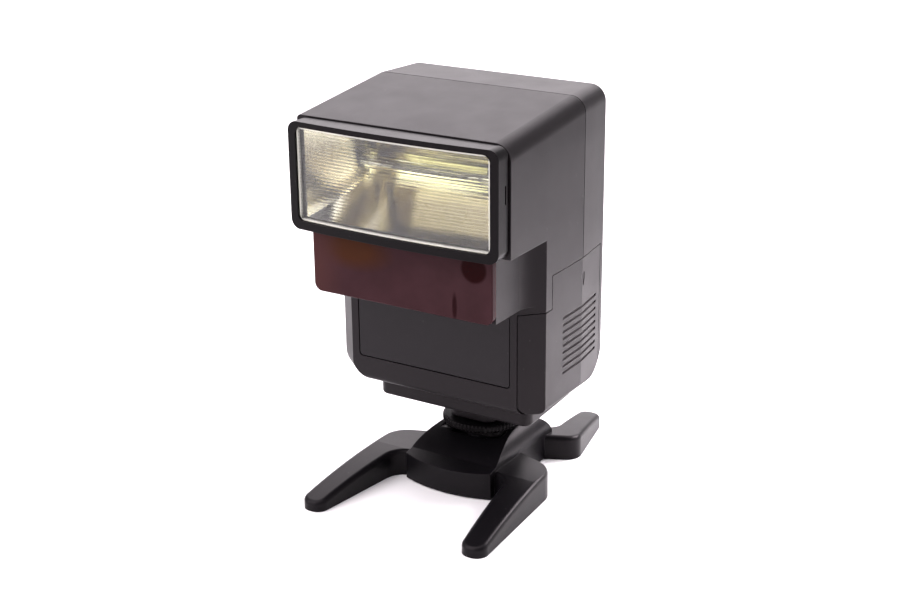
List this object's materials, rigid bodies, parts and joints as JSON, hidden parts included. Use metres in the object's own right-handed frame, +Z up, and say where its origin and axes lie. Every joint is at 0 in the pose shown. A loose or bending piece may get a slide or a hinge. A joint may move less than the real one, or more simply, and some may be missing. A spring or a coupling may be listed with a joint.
{
  "type": "speedlight flash",
  "caption": "Compact speedlight with a fixed head, wide ribbed lens and dark red focus-assist window, locked by its foot in a four-legged table stand.",
  "frame": {"origin": "on the surface the stand rests on, under the middle of the whole object", "axes": "+Z up, the flash faces -Y, +X is the battery door's side"},
  "size_m": [0.0718, 0.103, 0.1261],
  "materials": {
    "stand_black": "satin moulded",
    "case_black": "fine moulded grain",
    "bezel_black": "satin",
    "panel_black": "satin, smooth",
    "inner_black": "moulded",
    "control_grey": "satin",
    "clear_lens": "clear, ribbed inside",
    "window_red": "dark red, polished",
    "lens_red": "polished",
    "lamp_red": "polished",
    "tube_glass": "polished",
    "reflector_bright": "bright rolled sheet",
    "foot_metal": "stamped",
    "bracket_steel": "stamped",
    "screw_steel": "zinc plated",
    "spring_steel": "drawn",
    "contact_nickel": "nickel plated",
    "brass_thread": "turned",
    "grommet_rubber": "soft",
    "coil_yellow": "taped winding",
    "slide_amber": "printed slide",
    "board_green": "lacquered",
    "chip_black": "moulded",
    "capacitor_black": "sleeved can",
    "cell_jacket": "printed jacket",
    "lead_red": "insulated"
  },
  "bodies": {
    "stand": {"stand_body": "stand_black", "tripod_bush": "brass_thread"},
    "flash": {"front_shell": "case_black", "rear_shell": "case_black", "case_screws": "screw_steel", "bezel": "bezel_black", "fresnel_lens": "clear_lens", "reflector": "reflector_bright", "flash_tube": "tube_glass", "tube_grommets": "grommet_rubber", "trigger_coil": "coil_yellow", "af_window": "window_red", "af_lens": "lens_red", "af_lamp_holder": "inner_black", "af_lamp": "lamp_red", "pattern_slide": "slide_amber", "control_board": "board_green", "name_panel": "panel_black", "main_capacitor": "capacitor_black", "main_board": "board_green", "transformer": "coil_yellow", "power_transistor": "chip_black", "rear_panel": "panel_black", "power_switch": "inner_black", "button_spring": "spring_steel", "test_switch": "inner_black", "ready_lamp": "lamp_red", "aa_cells": "cell_jacket", "battery_tray": "inner_black", "tray_contacts": "contact_nickel", "door_hinge_pin": "screw_steel", "hinge_bracket": "bracket_steel", "base_block": "case_black", "shoe_foot": "foot_metal", "pin_holder": "inner_black", "pin_springs": "spring_steel", "foot_screws": "screw_steel", "tube_leads": "lead_red"},
    "lock_wheel": {"lock_wheel": "bezel_black"},
    "clamp_plate": {"clamp_plate": "bezel_black"},
    "battery_door": {"battery_door": "case_black", "door_contacts": "contact_nickel"},
    "test_button": {"test_button": "control_grey"},
    "power_slider": {"power_slider": "control_grey"},
    "centre_pin": {"centre_pin": "brass_thread"},
    "left_pin": {"left_pin": "brass_thread"},
    "right_pin": {"right_pin": "brass_thread"},
    "signal_pin": {"signal_pin": "brass_thread"}
  },
  "joints": [
    {"name": "shoe_slide", "type": "slide", "parent": "stand", "child": "flash", "axis": [0, 1, 0], "range_m": [0, 0.03]},
    {"name": "lock_wheel_turn", "type": "hinge", "parent": "flash", "child": "lock_wheel", "pos_m": [0, 0.0045, 0.018], "axis": [0, 0, 1], "range_deg": [0, 180]},
    {"name": "clamp_plate_travel", "type": "slide", "parent": "flash", "child": "clamp_plate", "axis": [0, 0, 1], "range_m": [-0.0004, 0]},
    {"name": "battery_door_hinge", "type": "hinge", "parent": "flash", "child": "battery_door", "pos_m": [0.033, 0, 0.0385], "axis": [0, 1, 0], "range_deg": [0, 90]},
    {"name": "test_button_press", "type": "slide", "parent": "flash", "child": "test_button", "axis": [0, -1, 0], "range_m": [0, 0.0008], "stiffness_N_per_m": 600, "springref_m": -0.0005},
    {"name": "power_slider_travel", "type": "slide", "parent": "flash", "child": "power_slider", "axis": [0, 0, 1], "range_m": [0, 0.0068]},
    {"name": "centre_pin_travel", "type": "slide", "parent": "flash", "child": "centre_pin", "axis": [0, 0, 1], "range_m": [0, 0.0006], "stiffness_N_per_m": 300, "springref_m": -0.0005},
    {"name": "left_pin_travel", "type": "slide", "parent": "flash", "child": "left_pin", "axis": [0, 0, 1], "range_m": [0, 0.0006], "stiffness_N_per_m": 300, "springref_m": -0.0005},
    {"name": "right_pin_travel", "type": "slide", "parent": "flash", "child": "right_pin", "axis": [0, 0, 1], "range_m": [0, 0.0006], "stiffness_N_per_m": 300, "springref_m": -0.0005},
    {"name": "signal_pin_travel", "type": "slide", "parent": "flash", "child": "signal_pin", "axis": [0, 0, 1], "range_m": [0, 0.0006], "stiffness_N_per_m": 300, "springref_m": -0.0005}
  ],
  "couplings": [
    {"joint": "lock_wheel_turn", "follows": "clamp_plate_travel", "rad_per_m": -7850}
  ]
}
